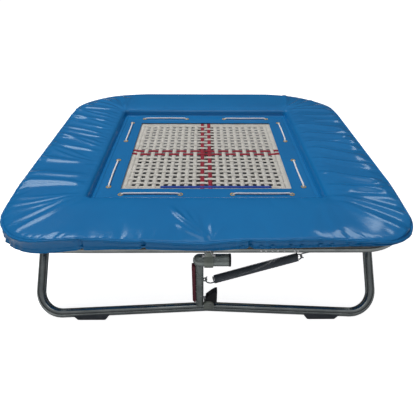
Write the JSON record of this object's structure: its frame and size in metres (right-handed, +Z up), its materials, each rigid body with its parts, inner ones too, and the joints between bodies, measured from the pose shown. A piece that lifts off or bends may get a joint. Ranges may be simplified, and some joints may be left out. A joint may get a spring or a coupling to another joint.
{
  "type": "trampoline",
  "caption": "Square mini trampoline with a woven strap bed on springs, padded vinyl surround and folding U-legs braced by spring-loaded struts.",
  "frame": {"origin": "on the floor under the middle of the bed", "axes": "+Z up, -Y towards the front, +X to the right seen from the front"},
  "size_m": [1.2196, 1.2196, 0.3711],
  "materials": {
    "tube": "zinc-plated, smooth",
    "bare_steel": "plated",
    "bracket_steel": "zinc-plated, satin",
    "spring_steel": "plated",
    "dark_spring": "oiled",
    "foam": "closed-cell foam",
    "cover": "glossy coated vinyl",
    "eyelet_brass": "polished",
    "cord": "braided",
    "webbing": "woven straps",
    "nylon": "matt",
    "black_plastic": "matt",
    "foot_rubber": "matt",
    "bar_red": "satin paint"
  },
  "bodies": {
    "frame": {"front_rail": "tube", "rear_rail": "tube", "left_rail": "tube", "right_rail": "tube", "front_left_corner": "tube", "front_right_corner": "tube", "rear_right_corner": "tube", "rear_left_corner": "tube", "corner_sleeves": "bare_steel", "spring_staples": "bare_steel", "bed_springs": "spring_steel", "front_foam": "foam", "rear_foam": "foam", "left_foam": "foam", "right_foam": "foam", "pad_cover": "cover", "pad_flaps": "cover", "pad_eyelets": "eyelet_brass", "pad_tie_cords": "cord", "frame_ties": "cord", "front_hinge_brackets": "tube", "rear_hinge_brackets": "tube", "hinge_bolts": "bare_steel", "hinge_nuts": "bare_steel", "front_strut_collar": "tube", "rear_strut_collar": "tube", "front_tension_spring": "dark_spring", "rear_tension_spring": "dark_spring", "tension_links": "bare_steel", "tension_anchors": "tube"},
    "bed": {"bed_web": "webbing", "bed_hem": "webbing", "bed_rods": "bare_steel"},
    "front_leg": {"front_leg_left_half": "tube", "front_leg_right_half": "tube", "front_leg_bushes": "nylon", "front_leg_plugs": "black_plastic", "front_feet": "foot_rubber", "front_latch_housing": "bracket_steel", "front_latch_pin": "bare_steel"},
    "front_strut": {"front_strut_cross_tube": "bracket_steel", "front_strut_end_cap": "black_plastic", "front_strut_post": "bracket_steel", "front_strut_side_bar": "bar_red", "front_strut_catch_pin": "bare_steel"},
    "front_latch": {"front_latch_lever": "black_plastic"},
    "rear_leg": {"rear_leg_left_half": "tube", "rear_leg_right_half": "tube", "rear_leg_bushes": "nylon", "rear_leg_plugs": "black_plastic", "rear_feet": "foot_rubber", "rear_latch_housing": "bracket_steel", "rear_latch_pin": "bare_steel"},
    "rear_strut": {"rear_strut_cross_tube": "bracket_steel", "rear_strut_end_cap": "black_plastic", "rear_strut_post": "bracket_steel", "rear_strut_side_bar": "bar_red", "rear_strut_catch_pin": "bare_steel"},
    "rear_latch": {"rear_latch_lever": "black_plastic"}
  },
  "joints": [
    {"name": "bed_bounce", "type": "slide", "parent": "frame", "child": "bed", "axis": [0, 0, 1], "range_m": [-0.15, 0], "stiffness_N_per_m": 6000, "springref_m": 0.01, "deforming": ["bed_springs", "pad_tie_cords"]},
    {"name": "front_leg_fold", "type": "hinge", "parent": "frame", "child": "front_leg", "pos_m": [0, -0.29, 0.297], "axis": [1, 0, 0], "range_deg": [0, 132]},
    {"name": "front_strut_swing", "type": "hinge", "parent": "frame", "child": "front_strut", "pos_m": [0, -0.585, 0.275], "axis": [1, 0, 0], "range_deg": [0, 78], "deforming": ["front_tension_spring"]},
    {"name": "front_latch_turn", "type": "hinge", "parent": "front_leg", "child": "front_latch", "pos_m": [0.012, -0.54818, 0.06359], "axis": [0, 0.9852, 0.1716], "range_deg": [0, 36], "stiffness_Nm_per_rad": 0.5, "springref_deg": -20.05},
    {"name": "rear_leg_fold", "type": "hinge", "parent": "frame", "child": "rear_leg", "pos_m": [0, 0.29, 0.297], "axis": [-1, 0, 0], "range_deg": [0, 122]},
    {"name": "rear_strut_swing", "type": "hinge", "parent": "frame", "child": "rear_strut", "pos_m": [0, 0.585, 0.275], "axis": [-1, 0, 0], "range_deg": [0, 78], "deforming": ["rear_tension_spring"]},
    {"name": "rear_latch_turn", "type": "hinge", "parent": "rear_leg", "child": "rear_latch", "pos_m": [-0.012, 0.54818, 0.06359], "axis": [0, -0.9852, 0.1716], "range_deg": [0, 36], "stiffness_Nm_per_rad": 0.5, "springref_deg": -20.05}
  ]
}
